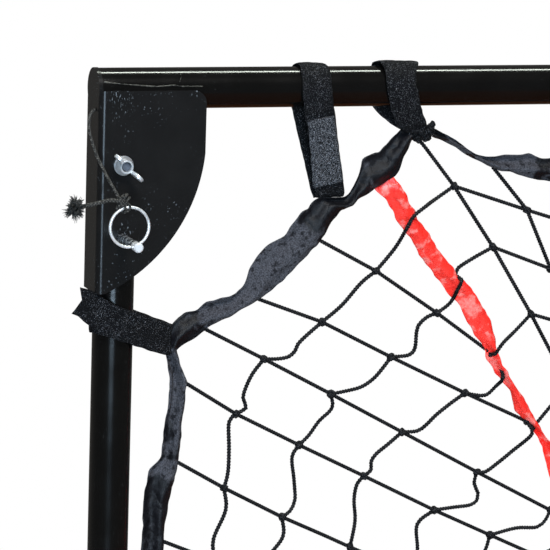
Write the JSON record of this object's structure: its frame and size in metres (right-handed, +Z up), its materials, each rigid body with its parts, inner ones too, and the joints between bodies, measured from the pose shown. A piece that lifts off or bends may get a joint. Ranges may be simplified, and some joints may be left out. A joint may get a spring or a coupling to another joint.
{
  "type": "golf chipping net",
  "caption": "Free-standing folding steel tube frame with a knotted net bag, red target ribbons, strap ties, and folding legs held by wing nuts and lock pins.",
  "frame": {"origin": "middle of the ground plane under the frame", "axes": "+X across the frame to the player's right, +Y from the player through the net, +Z up"},
  "size_m": [0.9282, 0.546, 0.8824],
  "materials": {
    "frame_paint": "gloss black paint on steel tube",
    "bracket_paint": "gloss black paint, scuffed and dusty, grey where the edge is worn",
    "zinc": "bright zinc plate",
    "ring_chrome": "bright wire",
    "cap_plastic": "moulded black plastic",
    "net_cord": "braided black cord, knotted",
    "border_tape": "crinkled black nylon tape",
    "ribbon_red": "shiny red nylon ribbon",
    "hook_loop": "fuzzy black hook-and-loop tape",
    "tether_cord": "thin black twine"
  },
  "bodies": {
    "root": {"top_bar": "frame_paint", "corner_bracket_left": "bracket_paint", "pivot_bolt_left": "zinc", "pivot_washer_left": "zinc", "corner_bracket_right": "bracket_paint", "pivot_bolt_right": "zinc", "pivot_washer_right": "zinc", "net_bottom": "net_cord", "net_corner_bottom_right": "net_cord", "net_right": "net_cord", "net_corner_top_right": "net_cord", "net_top": "net_cord", "net_corner_top_left": "net_cord", "net_left": "net_cord", "net_corner_bottom_left": "net_cord", "net_back": "net_cord", "border_top": "border_tape", "border_left": "border_tape", "border_right": "border_tape", "border_bottom": "border_tape", "target_ribbon_a": "ribbon_red", "target_ribbon_b": "ribbon_red", "bar_strap_outer_left": "hook_loop", "bar_strap_inner_left": "hook_loop", "bar_strap_outer_right": "hook_loop", "bar_strap_inner_right": "hook_loop", "bar_strap_middle": "hook_loop", "tether_left": "tether_cord", "tether_right": "tether_cord"},
    "leg_left": {"leg_left": "frame_paint", "foot_left": "frame_paint", "foot_caps_left": "cap_plastic", "leg_strap_upper_left": "hook_loop", "leg_strap_middle_left": "hook_loop", "leg_strap_lower_left": "hook_loop"},
    "wing_nut_left": {"wing_nut_left": "zinc"},
    "lock_pin_left": {"lock_pin_left": "zinc"},
    "pull_ring_left": {"pull_ring_left": "ring_chrome"},
    "leg_right": {"leg_right": "frame_paint", "foot_right": "frame_paint", "foot_caps_right": "cap_plastic", "leg_strap_upper_right": "hook_loop", "leg_strap_middle_right": "hook_loop", "leg_strap_lower_right": "hook_loop"},
    "wing_nut_right": {"wing_nut_right": "zinc"},
    "lock_pin_right": {"lock_pin_right": "zinc"},
    "pull_ring_right": {"pull_ring_right": "ring_chrome"}
  },
  "joints": [
    {"name": "leg_fold_left", "type": "hinge", "parent": "root", "child": "leg_left", "pos_m": [-0.4417, 0, 0.82245], "axis": [0, -1, 0], "range_deg": [0, 90], "deforming": ["net_bottom", "net_corner_bottom_right", "net_right", "net_corner_top_right", "net_top", "net_corner_top_left", "net_left", "net_corner_bottom_left", "net_back", "border_top", "border_left", "border_right", "border_bottom", "target_ribbon_a", "target_ribbon_b", "bar_strap_outer_left", "bar_strap_inner_left", "bar_strap_outer_right", "bar_strap_inner_right", "bar_strap_middle", "leg_strap_upper_left", "leg_strap_middle_left", "leg_strap_lower_left"]},
    {"name": "wing_nut_spin_left", "type": "hinge", "parent": "root", "child": "wing_nut_left", "pos_m": [-0.4417, -0.02, 0.82245], "axis": [0, 1, 0], "continuous": true},
    {"name": "lock_pin_slide_left", "type": "slide", "parent": "root", "child": "lock_pin_left", "axis": [0, 1, 0], "range_m": [0, 0.0255], "deforming": ["tether_left"]},
    {"name": "ring_swing_left", "type": "hinge", "parent": "lock_pin_left", "child": "pull_ring_left", "pos_m": [-0.4417, -0.0439, 0.77745], "axis": [0.9483, 0, 0.3173], "range_deg": [-20, 20]},
    {"name": "leg_fold_right", "type": "hinge", "parent": "root", "child": "leg_right", "pos_m": [0.4417, 0, 0.79445], "axis": [0, 1, 0], "range_deg": [0, 90], "deforming": ["leg_strap_upper_right", "leg_strap_middle_right", "leg_strap_lower_right"]},
    {"name": "wing_nut_spin_right", "type": "hinge", "parent": "root", "child": "wing_nut_right", "pos_m": [0.4417, -0.02, 0.79445], "axis": [0, 1, 0], "continuous": true},
    {"name": "lock_pin_slide_right", "type": "slide", "parent": "root", "child": "lock_pin_right", "axis": [0, 1, 0], "range_m": [0, 0.0255], "deforming": ["tether_right"]},
    {"name": "ring_swing_right", "type": "hinge", "parent": "lock_pin_right", "child": "pull_ring_right", "pos_m": [0.4417, -0.0439, 0.76345], "axis": [0.9483, 0, -0.3173], "range_deg": [-20, 20]}
  ]
}
